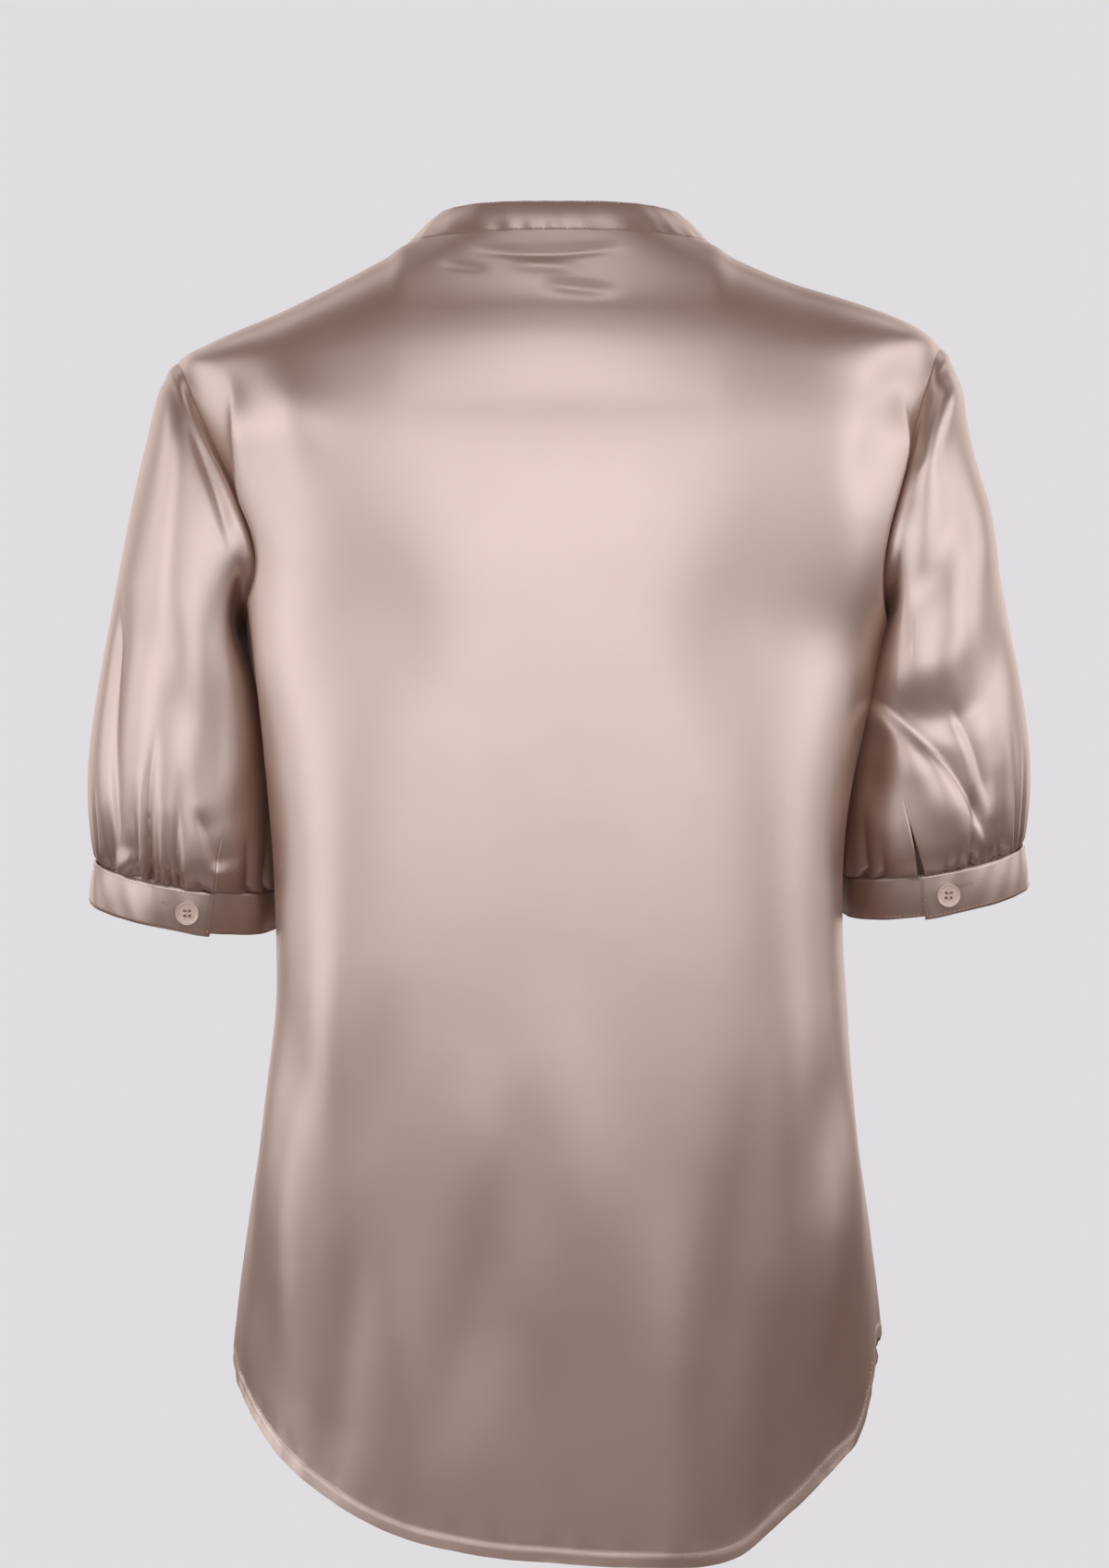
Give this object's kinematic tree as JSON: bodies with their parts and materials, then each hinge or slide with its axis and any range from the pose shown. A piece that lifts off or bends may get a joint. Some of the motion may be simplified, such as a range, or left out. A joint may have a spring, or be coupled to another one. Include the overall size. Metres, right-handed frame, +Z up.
{
  "type": "blouse",
  "caption": "Woman's satin blouse with a leaning stand collar, curved shirt-tail hem, elbow-length sleeves gathered into buttoned cuffs and a buttoned front.",
  "frame": {"origin": "middle of the neck opening, level with the two side neck points, where the blouse hangs on the shoulders", "axes": "+Z up, the front faces -Y, the wearer's left is +X"},
  "size_m": [0.4982, 0.229, 0.6992],
  "materials": {
    "satin": "satin weave, soft sheen",
    "satin_bands": "doubled satin, edge stitched",
    "buttons": "pearly, polished"
  },
  "bodies": {
    "root": {"back": "satin", "front_left": "satin", "front_right": "satin", "front_band": "satin", "collar": "satin_bands", "sleeve_left": "satin", "cuff_left": "satin_bands", "cuff_button_left": "buttons", "sleeve_right": "satin", "cuff_right": "satin_bands", "cuff_button_right": "buttons", "collar_button": "buttons", "front_button_1": "buttons", "front_button_2": "buttons", "front_button_3": "buttons", "front_button_4": "buttons", "front_button_5": "buttons", "front_button_6": "buttons"}
  },
  "joints": []
}
